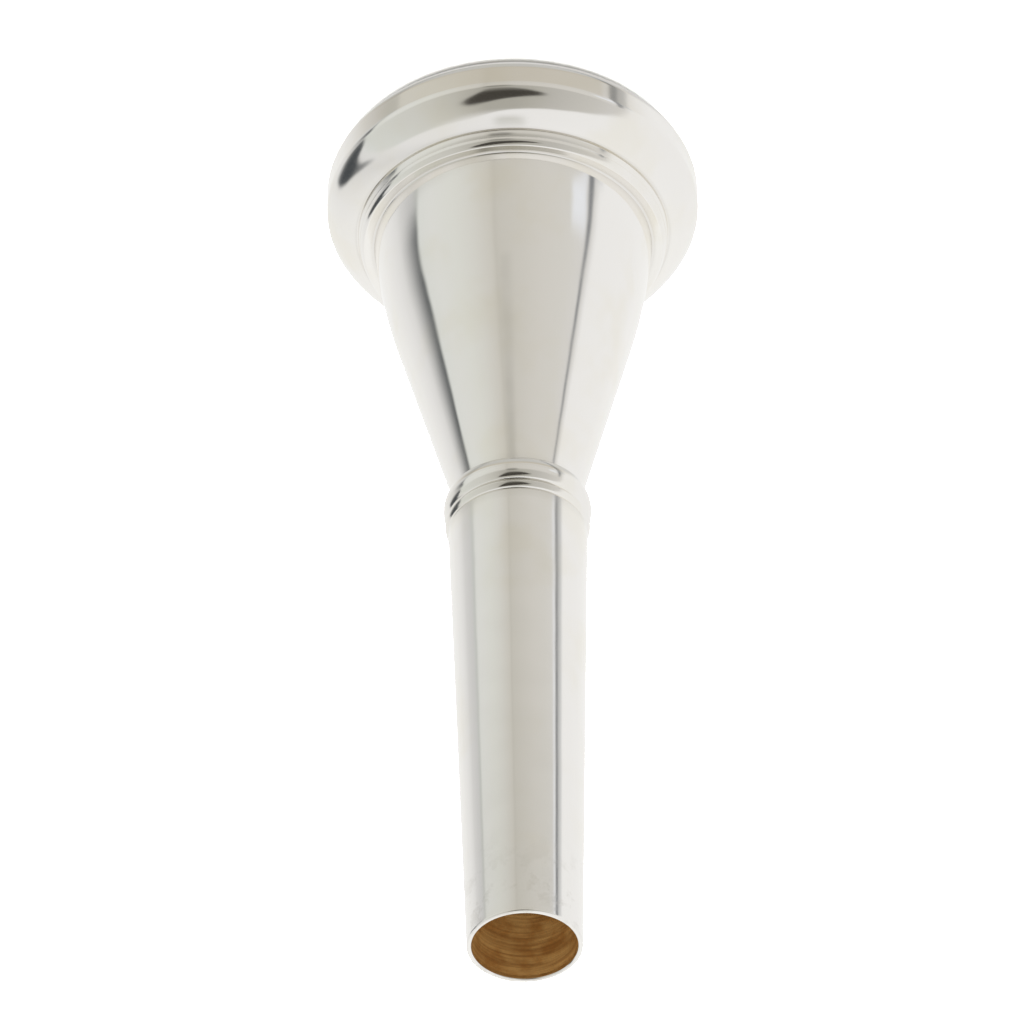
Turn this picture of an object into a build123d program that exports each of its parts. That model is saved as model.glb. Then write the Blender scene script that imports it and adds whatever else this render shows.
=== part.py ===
"""French horn mouthpiece of sectional (screw rim) construction, in millimetres.

The mouthpiece stands on the crown of its rim, as it is put down on a table.
The origin is on its axis, in the plane that the crown touches, and +Z runs
along the axis to the open end of the shank.  Heights are measured up from
that plane, radii out from the axis.

Five turned pieces: the rim, the ring under the rim, the cup with its two
threaded spigots, the ring at the neck, and the shank with its backbore.
"""
from build123d import *
import math
import os

# ---- driving dimensions --------------------------------------------------
OVERALL_LENGTH = 65.1
SHANK_LENGTH = 33.75
NECK_RING_LENGTH = 2.53
RIM_RING_LENGTH = 0.57

RIM_RADIUS = 12.4            # widest part of the rim
CROWN_RADIUS = 10.4          # circle that the mouthpiece stands on
CORNER_HEIGHT = 1.4          # the rounding from the crown to the rim's side
SIDE_HEIGHT = 2.9            # crown plane to the end of the rim's straight side
BACK_HEIGHT = 5.03           # where the rim's back meets its ring
BACK_RADIUS = 10.42
BACK_BULGE = 0.27            # how far the rim's back is crowned
BITE_RADIUS = 8.9            # inner edge of the rim
BITE_HEIGHT = 1.3

RIM_RING_RADIUS = 10.2       # at both ends of the ring
RIM_RING_CREST = 10.33
RIM_RING_CREST_UP = 0.19     # from the ring's start to its crest
SHOULDER_RADIUS = 10.2       # of the cup, where the ring sits on it
SHOULDER_EDGE = 9.96, 6.12   # radius and height where the shoulder turns in
SHOULDER_TOP = 9.87, 6.15
COVE_START = 9.33, 6.055     # foot of the shoulder, beside the cup's wall
CUP_TOP = 9.2, 6.2           # the cup's wall starts almost upright
CUP_CURVE_END = 7.86, 14.0   # and is a plain cone from here on
CUP_BULGE = 0.172
CONE_END_RADIUS = 3.95

NECK_START_RADIUS = 4.66
NECK_BEAD = 4.79, 29.38      # radius and height of the bead's crest
NECK_BEAD_END = 4.53, 30.26  # from here it turns in quickly
NECK_GROOVE = 4.31, 30.43
NECK_LIP = 4.69, 30.79       # the lip's crisp lower edge
NECK_LIP_TURN = 4.53, 31.1
NECK_LIP_END = 4.43, 31.18

SHANK_TOP_RADIUS = 4.5
SHANK_TIP_RADIUS = 3.62      # gives a taper of 1 in 19.2 on diameter, Morse 0
TIP_BORE_RADIUS = 3.28
TIP_EDGE_ROUND = 0.12

THROAT_RADIUS = 2.25
THROAT_START = 30.6          # bottom of the funnel
THROAT_END = 33.1            # start of the backbore
FUNNEL_MOUTH_RADIUS = 8.56
FUNNEL_BULGE = 0.45          # the funnel is slightly bowl shaped

# ---- heights that follow from them ---------------------------------------
RIM_RING_END = BACK_HEIGHT + RIM_RING_LENGTH
NECK_RING_END = OVERALL_LENGTH - SHANK_LENGTH
CONE_END_HEIGHT = NECK_RING_END - NECK_RING_LENGTH

# ---- the two screw threads -----------------------------------------------
PITCH = 0.75
THREAD_DEPTH = 0.41
RIDGE_HALF_WIDTH = 0.30      # half the width of a ridge at its root
FLANK_ANGLE = 30             # degrees each side, a 60 degree thread
FLANK_GAP = 0.06             # play along the axis, each side of a ridge
RADIAL_GAP = 0.08            # play between crest and root, and at the pilots

RIM_THREAD_RADIUS = 9.45     # crest of the thread that carries the rim
SHANK_THREAD_RADIUS = 3.45   # crest of the thread that carries the shank
RIM_SPIGOT_END = 2.15        # spigots end here, inside the rim
SHANK_SPIGOT_END = 36.2      # and here, inside the shank
SEAT_GAP = 0.12              # room beyond each spigot's end
RIM_THREAD_START = 2.6       # middle of the ridge where it starts, inside the rim
RIM_THREAD_TURNS = 2.8
SHANK_THREAD_START = 31.75
SHANK_THREAD_TURNS = 5.2


def turned(*edges):
    """Revolves a closed half-section, drawn as radius and height, about Z.

    The seam of its faces is put a quarter turn from where the threads start.
    """
    return Rot(Z=-90) * revolve(Plane.XZ * make_face(edges), Axis.Z)


def bulged(start, end, bulge):
    """An arc that stands the given distance out to the right of its chord."""
    run = end[0] - start[0], end[1] - start[1]
    length = math.hypot(*run)
    middle = (start[0] + end[0]) / 2, (start[1] + end[1]) / 2
    crest = middle[0] + run[1] / length * bulge, middle[1] - run[0] / length * bulge
    return ThreePointArc(start, crest, end)


def helical_ridge(root_radius, crest_radius, root_half_width, first, last):
    """A right-hand ridge wound about Z, its middle rising from first to last."""
    taper = (crest_radius - root_radius) * math.tan(math.radians(FLANK_ANGLE))
    crest_half_width = root_half_width - taper
    section = Plane.XZ * make_face(Polyline(
        (root_radius, first - root_half_width),
        (crest_radius, first - crest_half_width),
        (crest_radius, first + crest_half_width),
        (root_radius, first + root_half_width),
        close=True,
    ))
    path = Helix(PITCH, last - first, root_radius, center=(0, 0, first))
    return sweep(section, path, is_frenet=True)


def in_phase(first):
    """The turn that puts every thread, wherever it starts, on one and the same helix."""
    return Rot(Z=360 * first / PITCH)


def male_thread(crest_radius, first, last):
    """The ridge on a spigot, sunk a little into it so that the two fuse."""
    sink = 0.05
    root = crest_radius - THREAD_DEPTH - sink
    half_width = RIDGE_HALF_WIDTH + sink * math.tan(math.radians(FLANK_ANGLE))
    return helical_ridge(root, crest_radius, half_width, first, last)


def female_thread(crest_radius, first, last):
    """The matching groove: the male ridge, grown by the play on every side."""
    tangent = math.tan(math.radians(FLANK_ANGLE))
    mouth = 0.04             # starts this far inside the bore that it is cut in
    inner = crest_radius - THREAD_DEPTH + RADIAL_GAP - mouth
    ridge_here = RIDGE_HALF_WIDTH - (RADIAL_GAP - mouth) * tangent
    return helical_ridge(inner, crest_radius + RADIAL_GAP, ridge_here + FLANK_GAP, first, last)


def bore_radius(height):
    """Radius of the straight-tapered backbore at a height."""
    along = (height - THROAT_END) / (OVERALL_LENGTH - THROAT_END)
    return THROAT_RADIUS + (TIP_BORE_RADIUS - THROAT_RADIUS) * along


def rim():
    """The rim: crown, bite, crowned back, and a threaded socket for the cup."""
    side = RIM_RADIUS, SIDE_HEIGHT
    back = BACK_RADIUS, BACK_HEIGHT
    bite = BITE_RADIUS, BITE_HEIGHT
    floor = RIM_SPIGOT_END - SEAT_GAP
    socket = RIM_THREAD_RADIUS - THREAD_DEPTH + RADIAL_GAP
    lead_in = 0.25
    body = turned(
        EllipticalCenterArc(
            (CROWN_RADIUS, CORNER_HEIGHT), RIM_RADIUS - CROWN_RADIUS, CORNER_HEIGHT, 270, arc_size=90),
        Line((RIM_RADIUS, CORNER_HEIGHT), side),
        bulged(side, back, BACK_BULGE),
        Polyline(
            back,
            (socket + lead_in, BACK_HEIGHT),
            (socket, BACK_HEIGHT - lead_in),
            (socket, floor),
            (FUNNEL_MOUTH_RADIUS, floor),
            bite,
        ),
        EllipticalCenterArc(
            (CROWN_RADIUS, BITE_HEIGHT), CROWN_RADIUS - BITE_RADIUS, BITE_HEIGHT, 180, arc_size=90),
    )
    first = RIM_THREAD_START - 0.1 * PITCH
    thread = female_thread(RIM_THREAD_RADIUS, first, first + 5 * PITCH)
    return in_phase(first) * (body - thread)


def rim_ring():
    """The moulded ring between the rim and the cup's shoulder: a low band."""
    inner = RIM_THREAD_RADIUS + RADIAL_GAP
    start = RIM_RING_RADIUS, BACK_HEIGHT
    crest = RIM_RING_CREST, BACK_HEIGHT + RIM_RING_CREST_UP
    end = RIM_RING_RADIUS, RIM_RING_END
    return turned(
        bulged(start, crest, 0.04),
        bulged(crest, end, 0.008),
        Polyline(end, (inner, RIM_RING_END), (inner, BACK_HEIGHT), start),
    )


def cup():
    """The cup: a shoulder and a cone outside, the funnel in it, and a spigot at each end."""
    rim_root = RIM_THREAD_RADIUS - THREAD_DEPTH
    neck_root = SHANK_THREAD_RADIUS - THREAD_DEPTH
    rim_pilot_end = BACK_HEIGHT + 0.1
    neck_pilot_end = NECK_RING_END - 0.1
    end_chamfer = 0.15
    body = turned(
        bulged((SHOULDER_RADIUS, RIM_RING_END), SHOULDER_EDGE, 0.043),
        bulged(SHOULDER_EDGE, SHOULDER_TOP, 0.012),
        Line(SHOULDER_TOP, COVE_START),
        bulged(COVE_START, CUP_TOP, -0.035),
        bulged(CUP_TOP, CUP_CURVE_END, CUP_BULGE),
        Polyline(
            CUP_CURVE_END,
            (CONE_END_RADIUS, CONE_END_HEIGHT),
            (SHANK_THREAD_RADIUS, CONE_END_HEIGHT),
            (SHANK_THREAD_RADIUS, neck_pilot_end),
            (neck_root, neck_pilot_end + THREAD_DEPTH / 2),
            (neck_root, SHANK_SPIGOT_END - end_chamfer),
            (neck_root - end_chamfer, SHANK_SPIGOT_END),
            (bore_radius(SHANK_SPIGOT_END), SHANK_SPIGOT_END),
            (THROAT_RADIUS, THROAT_END),
            (THROAT_RADIUS, THROAT_START),
        ),
        bulged((THROAT_RADIUS, THROAT_START), (FUNNEL_MOUTH_RADIUS, RIM_SPIGOT_END), -FUNNEL_BULGE),
        Polyline(
            (FUNNEL_MOUTH_RADIUS, RIM_SPIGOT_END),
            (rim_root - end_chamfer, RIM_SPIGOT_END),
            (rim_root, RIM_SPIGOT_END + end_chamfer),
            (rim_root, rim_pilot_end - THREAD_DEPTH / 2),
            (RIM_THREAD_RADIUS, rim_pilot_end),
            (RIM_THREAD_RADIUS, RIM_RING_END),
            (SHOULDER_RADIUS, RIM_RING_END),
        ),
    )
    rim_thread = male_thread(
        RIM_THREAD_RADIUS, RIM_THREAD_START, RIM_THREAD_START + RIM_THREAD_TURNS * PITCH)
    shank_thread = male_thread(
        SHANK_THREAD_RADIUS, SHANK_THREAD_START, SHANK_THREAD_START + SHANK_THREAD_TURNS * PITCH)
    body += in_phase(RIM_THREAD_START) * rim_thread
    body += in_phase(SHANK_THREAD_START) * shank_thread
    return body


def neck_ring():
    """The ring at the neck: a round bead, a groove, and a low lip beside the shank."""
    inner = SHANK_THREAD_RADIUS + RADIAL_GAP
    start = NECK_START_RADIUS, CONE_END_HEIGHT
    end = SHANK_TOP_RADIUS, NECK_RING_END
    return turned(
        ThreePointArc(start, NECK_BEAD, NECK_BEAD_END),
        bulged(NECK_BEAD_END, NECK_GROOVE, 0.017),
        Line(NECK_GROOVE, NECK_LIP),
        bulged(NECK_LIP, NECK_LIP_TURN, 0.011),
        bulged(NECK_LIP_TURN, NECK_LIP_END, 0.008),
        Polyline(NECK_LIP_END, end, (inner, NECK_RING_END), (inner, CONE_END_HEIGHT), start),
    )


def shank():
    """The shank: Morse taper outside, threaded socket and backbore inside."""
    socket = SHANK_THREAD_RADIUS - THREAD_DEPTH + RADIAL_GAP
    lead_in = 0.35
    floor = SHANK_SPIGOT_END + SEAT_GAP
    edge_height = OVERALL_LENGTH - TIP_EDGE_ROUND
    body = turned(
        Polyline(
            (SHANK_TIP_RADIUS, edge_height),
            (SHANK_TOP_RADIUS, NECK_RING_END),
            (socket + lead_in, NECK_RING_END),
            (socket, NECK_RING_END + lead_in),
            (socket, floor),
            (bore_radius(floor), floor),
            (TIP_BORE_RADIUS, edge_height),
        ),
        bulged((TIP_BORE_RADIUS, edge_height), (SHANK_TIP_RADIUS, edge_height), -TIP_EDGE_ROUND),
    )
    first = SHANK_THREAD_START - PITCH
    thread = female_thread(SHANK_THREAD_RADIUS, first, first + (SHANK_THREAD_TURNS + 1.1) * PITCH)
    return in_phase(first) * (body - thread)


pieces = {
    "rim": rim(),
    "rim_ring": rim_ring(),
    "cup": cup(),
    "neck_ring": neck_ring(),
    "shank": shank(),
}
os.makedirs("parts", exist_ok=True)
for name, piece in pieces.items():
    export_step(piece, f"parts/{name}.step")
    print(name, "volume", round(piece.volume, 2), "solids", len(piece.solids()))
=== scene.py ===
# %% [markdown]
# # A French horn mouthpiece, turned in brass and silver plated
#
# This lesson dresses a finished CAD model of a mouthpiece for its portrait. The mouthpiece stands on
# its rim with the shank pointing up, in metres, exactly where the CAD frame puts it. The CAD pieces are
# made of small flat facets. That is good enough for physics, but a polished mirror finish would show
# every facet, so each piece is turned again here on a finer lathe, to the same sizes.

import math

import bmesh
import bpy
import numpy as np
from mathutils import Matrix, Vector


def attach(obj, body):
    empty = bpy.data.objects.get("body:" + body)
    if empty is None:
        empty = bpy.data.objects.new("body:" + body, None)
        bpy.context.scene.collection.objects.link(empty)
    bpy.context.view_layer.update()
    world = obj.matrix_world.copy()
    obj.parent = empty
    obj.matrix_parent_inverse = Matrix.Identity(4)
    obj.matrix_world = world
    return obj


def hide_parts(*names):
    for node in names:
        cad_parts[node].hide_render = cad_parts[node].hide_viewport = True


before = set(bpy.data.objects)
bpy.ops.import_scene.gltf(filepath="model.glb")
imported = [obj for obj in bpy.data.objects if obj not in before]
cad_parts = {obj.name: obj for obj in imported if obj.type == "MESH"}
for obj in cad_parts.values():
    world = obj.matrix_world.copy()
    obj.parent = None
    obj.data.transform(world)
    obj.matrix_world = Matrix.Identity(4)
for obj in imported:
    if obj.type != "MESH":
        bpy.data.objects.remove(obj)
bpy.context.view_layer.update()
scene = bpy.context.scene
MM = 0.001

# %% [markdown]
# ## Colours and nodes
#
# Colours are written the way a paint chart gives them, as sRGB hex, and one function turns them into the
# linear numbers that Blender mixes light with. One more small function adds any node to any tree, sets
# its settings and joins its sockets, so the trees below read like a recipe. The third starts a material.


# %% Three helpers
def colour(code):
    """sRGB hex such as "F4F1EC" to linear red, green, blue and alpha."""
    parts = [int(code[i : i + 2], 16) / 255 for i in (0, 2, 4)]
    return tuple(c / 12.92 if c <= 0.04045 else ((c + 0.055) / 1.055) ** 2.4 for c in parts) + (1.0,)


def node(tree, kind, sockets=None, **settings):
    """Adds a node. A socket is given a plain value, another node's socket, or a node (its first output)."""
    made = tree.nodes.new(kind)
    for name, value in settings.items():
        setattr(made, name, value)
    for key, value in (sockets or {}).items():
        if isinstance(value, bpy.types.Node):
            value = value.outputs[0]
        if isinstance(value, bpy.types.NodeSocket):
            tree.links.new(value, made.inputs[key])
        else:
            made.inputs[key].default_value = value
    return made


def new_material(name):
    """An empty material, named for what it is and how its surface was made, and its node tree."""
    material = bpy.data.materials.new(name)
    material.use_nodes = True
    material.node_tree.nodes.clear()
    return material, material.node_tree


print("silver plate in linear light:", [round(c, 3) for c in colour("F7F5F1")[:3]])

# %% [markdown]
# ## Silver plate, buffed
#
# The outside of the mouthpiece is brass that was turned on a lathe, buffed on a cloth wheel, plated with
# about ten microns of silver and buffed again. Silver is the whitest mirror there is, with a slight warm
# cast. What makes it look real is what spoils the mirror a little: the wheel's fine marks that run round
# the piece, a slow waviness left by hand buffing, a haze where fingers held it, a few pinholes in the
# plate, and a grey residue of polish in the corners of the mouldings. The grey in those corners is also
# painted shade, standing in for the light that is trapped there.
#
# A flat roughness value would look like chrome plastic. So roughness, colour and surface slope each get
# their own quiet pattern, all read from Object coordinates turned into millimetres.

# %% Silver plate
BUFF_MARK_MM = 0.14  # real buffing marks are under 0.05 mm; drawn coarser so that they show
BUFF_MARK_SLOPE = 0.0035
WAVE_MM = 3.2
WAVE_SLOPE = 0.004
HAZE_MM = 5.5
PINHOLE_CELL_MM = 2.1
PINHOLE_RADIUS_MM = 0.055
PINHOLE_DEPTH_MM = 0.02
BARE_CELLS = 0.89  # the share of cells that have no pinhole
WORN_FROM_MM, WORN_TO_MM = 57.5, 63.5  # heights between which the end's wear comes in
WEAR_TINT, WEAR_ROUGH = 0.35, 0.1
# the corners' grey tint is polish residue and painted shade; their extra roughness is the residue
RESIDUE_AND_SHADE_TINT, RESIDUE_ROUGH = 0.12, 0.08
MIRROR_ROUGH, HAZE_ROUGH = 0.075, 0.15


def silver_plate():
    """Silver plate over turned brass, buffed: a near-perfect warm white mirror."""
    material, tree = new_material("silver_plate_buffed")
    place = node(tree, "ShaderNodeTexCoord")
    mm = node(tree, "ShaderNodeMapping", {"Vector": place.outputs["Object"], "Scale": (1 / MM,) * 3})
    height = node(tree, "ShaderNodeSeparateXYZ", {0: mm}).outputs["Z"]

    # haze: finger marks and uneven buffing, a few millimetres across
    haze = node(tree, "ShaderNodeTexNoise", {"Vector": mm, "Scale": 1 / HAZE_MM, "Detail": 3.0,
                "Roughness": 0.55})
    hazy = node(tree, "ShaderNodeMapRange", {0: haze, 1: 0.47, 2: 0.72, 3: 0.0, 4: 1.0},
                interpolation_type="SMOOTHSTEP")
    # the shank's end is what a hand and the instrument's receiver touch most
    worn_end = node(tree, "ShaderNodeMapRange", {0: height, 1: WORN_FROM_MM, 2: WORN_TO_MM, 3: 0.0, 4: 1.0},
                    interpolation_type="SMOOTHSTEP")
    mottle = node(tree, "ShaderNodeTexNoise", {"Vector": mm, "Scale": 0.75, "Detail": 4.0, "Roughness": 0.62})
    mottled = node(tree, "ShaderNodeMapRange", {0: mottle, 1: 0.5, 2: 0.66, 3: 0.0, 4: 1.0},
                   interpolation_type="SMOOTHSTEP")
    wear = node(tree, "ShaderNodeMath", {0: worn_end, 1: mottled}, operation="MULTIPLY")

    # pinholes: one possible pit in each cell, kept only in about one cell of nine
    cells = node(tree, "ShaderNodeTexVoronoi", {"Vector": mm, "Scale": 1 / PINHOLE_CELL_MM})
    pit = node(tree, "ShaderNodeMapRange", {0: cells.outputs["Distance"],
               1: PINHOLE_RADIUS_MM / PINHOLE_CELL_MM,
               2: 0.45 * PINHOLE_RADIUS_MM / PINHOLE_CELL_MM, 3: 0.0, 4: 1.0}, interpolation_type="SMOOTHSTEP")
    chance = node(tree, "ShaderNodeSeparateColor", {0: cells.outputs["Color"]})
    chosen = node(tree, "ShaderNodeMath", {0: chance, 1: BARE_CELLS}, operation="GREATER_THAN")
    pinhole = node(tree, "ShaderNodeMath", {0: pit, 1: chosen}, operation="MULTIPLY")
    corner = node(tree, "ShaderNodeAttribute", attribute_name="crevice").outputs["Fac"]

    # colour: white silver, a yellower breath of tarnish, then worn end, corners (polish residue and painted
    # shade) and pinholes
    tint = node(tree, "ShaderNodeMix", {0: hazy, 6: colour("F7F5F1"), 7: colour("F5F2EA")}, data_type="RGBA")
    grey = node(tree, "ShaderNodeMath", {0: wear, 1: WEAR_TINT}, operation="MULTIPLY")
    tint = node(tree, "ShaderNodeMix", {0: grey, 6: tint.outputs[2], 7: colour("D9D6CE")}, data_type="RGBA")
    # the corners of the mouldings turn grey: polish residue, and painted shade where light is trapped
    residue_and_shade = node(tree, "ShaderNodeMath", {0: corner, 1: RESIDUE_AND_SHADE_TINT}, operation="MULTIPLY")
    tint = node(tree, "ShaderNodeMix", {0: residue_and_shade, 6: tint.outputs[2], 7: colour("8E897E")}, data_type="RGBA")
    tint = node(tree, "ShaderNodeMix", {0: pinhole, 6: tint.outputs[2], 7: colour("6E675C")}, data_type="RGBA")

    # roughness: a bright mirror, softened by haze, wear and residue
    rough = node(tree, "ShaderNodeMapRange", {0: haze, 1: 0.35, 2: 0.75, 3: MIRROR_ROUGH, 4: HAZE_ROUGH})
    rough = node(tree, "ShaderNodeMath", {0: wear, 1: WEAR_ROUGH, 2: rough}, operation="MULTIPLY_ADD")
    rough = node(tree, "ShaderNodeMath", {0: corner, 1: RESIDUE_ROUGH, 2: rough}, operation="MULTIPLY_ADD")

    # slopes: the wheel's marks run round the piece, so the pattern is squeezed along the axis only
    along = node(tree, "ShaderNodeMapping", {"Vector": mm, "Scale": (0.35, 0.35, 1 / BUFF_MARK_MM)})
    marks = node(tree, "ShaderNodeTexNoise", {"Vector": along, "Scale": 1.0, "Detail": 2.0})
    waves = node(tree, "ShaderNodeTexNoise", {"Vector": mm, "Scale": 1 / WAVE_MM, "Detail": 1.0})
    slope = node(tree, "ShaderNodeBump", {"Height": waves.outputs[0], "Strength": 1.0,
                 "Distance": WAVE_SLOPE * WAVE_MM * MM})
    slope = node(tree, "ShaderNodeBump", {"Height": marks.outputs[0], "Strength": 1.0,
                 "Distance": BUFF_MARK_SLOPE * BUFF_MARK_MM * MM, "Normal": slope})
    sunk = node(tree, "ShaderNodeBump", {"Height": pinhole, "Strength": 1.0,
                "Distance": PINHOLE_DEPTH_MM * MM, "Normal": slope}, invert=True)

    shader = node(tree, "ShaderNodeBsdfPrincipled", {"Base Color": tint.outputs[2], "Metallic": 1.0,
                  "Roughness": rough, "Normal": sunk})
    node(tree, "ShaderNodeOutputMaterial", {"Surface": shader})
    return material


PLATE = silver_plate()
print(PLATE.name, "has", len(PLATE.node_tree.nodes), "nodes")

# %% [markdown]
# ## Bare brass, reamed
#
# Plating hardly reaches into a bore 6 mm wide, so inside the shank the brass shows. A taper reamer cut
# it, and left fine rings that catch the light one by one. It has darkened to a warm brown in the air.
# The rings are a bump pattern, because they are only a few hundredths of a millimetre deep.

# %% Bare brass
REAMER_RING_MM = 0.24  # real rings are about 0.1 mm apart; drawn coarser so that they show
REAMER_RING_SLOPE = 0.12
METAL_SHARE = 0.65  # the rest is a thin brown oxide, which scatters light as a paint does


def bare_brass():
    """Yellow brass cut by a reamer and left to darken: satin, ringed, brown-gold."""
    material, tree = new_material("bare_brass_reamed")
    place = node(tree, "ShaderNodeTexCoord")
    mm = node(tree, "ShaderNodeMapping", {"Vector": place.outputs["Object"], "Scale": (1 / MM,) * 3})
    ring_space = node(tree, "ShaderNodeMapping", {"Vector": mm, "Scale": (0.22, 0.22, 1 / REAMER_RING_MM)})
    rings = node(tree, "ShaderNodeTexNoise", {"Vector": ring_space, "Scale": 1.0, "Detail": 3.0,
                 "Roughness": 0.6})
    stain = node(tree, "ShaderNodeTexNoise", {"Vector": mm, "Scale": 0.8, "Detail": 3.0})
    dark = node(tree, "ShaderNodeMapRange", {0: stain, 1: 0.38, 2: 0.7, 3: 0.0, 4: 1.0},
                interpolation_type="SMOOTHSTEP")
    tint = node(tree, "ShaderNodeMix", {0: dark, 6: colour("A9854F"), 7: colour("906735")}, data_type="RGBA")
    lines = node(tree, "ShaderNodeMapRange", {0: rings, 1: 0.4, 2: 0.62, 3: 0.0, 4: 0.6})
    tint = node(tree, "ShaderNodeMix", {0: lines, 6: tint.outputs[2], 7: colour("785025")}, data_type="RGBA")
    rough = node(tree, "ShaderNodeMapRange", {0: rings, 1: 0.3, 2: 0.7, 3: 0.48, 4: 0.62})
    slope = node(tree, "ShaderNodeBump", {"Height": rings.outputs[0], "Strength": 1.0,
                 "Distance": REAMER_RING_SLOPE * REAMER_RING_MM * MM})
    shader = node(tree, "ShaderNodeBsdfPrincipled", {"Base Color": tint.outputs[2], "Metallic": METAL_SHARE,
                  "Roughness": rough, "Normal": slope})
    node(tree, "ShaderNodeOutputMaterial", {"Surface": shader})
    return material


BRASS = bare_brass()
print(BRASS.name, "has", len(BRASS.node_tree.nodes), "nodes")

# %% [markdown]
# ## The lathe, as a node tree
#
# Every piece is turned: one half-section goes once round the axis. Blender's Screw modifier or Spin tool
# could do it, but both leave a seam to be welded and normals to be checked. Sweeping the half-section
# round a circle with Curve to Mesh closes the seam by itself, and because it is a node tree, the number
# of facets is one named input. The circle is small and the section is moved in by its radius, so that
# the section ends up at its true radii. The tree also lays the two finishes: a section point carries
# "bare" where the plating doesn't reach.


# %% The lathe
def lathe():
    tree = bpy.data.node_groups.new("lathe", "GeometryNodeTree")
    for name, kind in (("Half section", "Geometry"), ("Facets", "Int"), ("Path radius", "Float"),
                       ("Plate", "Material"), ("Bare metal", "Material")):
        tree.interface.new_socket(name=name, in_out="INPUT", socket_type=f"NodeSocket{kind}")
    tree.interface.new_socket(name="Piece", in_out="OUTPUT", socket_type="NodeSocketGeometry")
    given = node(tree, "NodeGroupInput")
    outline = node(tree, "GeometryNodeMeshToCurve", {"Mesh": given.outputs["Half section"]})
    at = node(tree, "ShaderNodeSeparateXYZ", {0: node(tree, "GeometryNodeInputPosition")})
    inwards = node(tree, "ShaderNodeMath", {0: at.outputs["X"], 1: given.outputs["Path radius"]},
                   operation="SUBTRACT")
    downwards = node(tree, "ShaderNodeMath", {0: at.outputs["Z"], 1: -1.0}, operation="MULTIPLY")
    laid = node(tree, "ShaderNodeCombineXYZ", {"X": inwards, "Y": downwards})
    section = node(tree, "GeometryNodeSetPosition", {"Geometry": outline, "Position": laid})
    path = node(tree, "GeometryNodeCurvePrimitiveCircle", {"Resolution": given.outputs["Facets"],
                "Radius": given.outputs["Path radius"]}, mode="RADIUS")
    upright = node(tree, "GeometryNodeSetCurveNormal", {"Curve": path}, mode="Z_UP")
    turned = node(tree, "GeometryNodeCurveToMesh", {"Curve": upright, "Profile Curve": section})
    outwards = node(tree, "GeometryNodeFlipFaces", {"Mesh": turned})
    smooth = node(tree, "GeometryNodeSetShadeSmooth", {"Geometry": outwards})
    whole = node(tree, "GeometryNodeRealizeInstances", {"Geometry": smooth})
    plated = node(tree, "GeometryNodeSetMaterial", {"Geometry": whole, "Material": given.outputs["Plate"]})
    bare = node(tree, "GeometryNodeInputNamedAttribute", {"Name": "bare"}, data_type="FLOAT")
    unplated = node(tree, "ShaderNodeMath", {0: bare, 1: 0.6}, operation="GREATER_THAN")
    finished = node(tree, "GeometryNodeSetMaterial", {"Geometry": plated, "Selection": unplated,
                    "Material": given.outputs["Bare metal"]})
    node(tree, "NodeGroupOutput", {"Piece": finished})
    return tree


LATHE = lathe()
FACETS = 256
PATH_RADIUS = 1.0 * MM
print("lathe inputs:", [s.name for s in LATHE.interface.items_tree if s.in_out == "INPUT"])

# %% [markdown]
# ## The screw threads, as a node tree
#
# The rim and the shank unscrew, so their threads are real. A thread is a rule: a ridge that climbs one
# pitch in each turn. Sweeping a ridge and joining it on would leave two skins inside each other. Here
# the wall's own points move out instead. For each point the tree finds how far it is from the middle of
# the nearest ridge, along the axis, and lifts it as high as a 60 degree flank allows. The same tree cuts
# the groove in a socket, with a little more width and depth for play.


# %% The thread cutter
FLANK_TANGENT = math.tan(math.radians(30))  # half of the thread's 60 degrees


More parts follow.
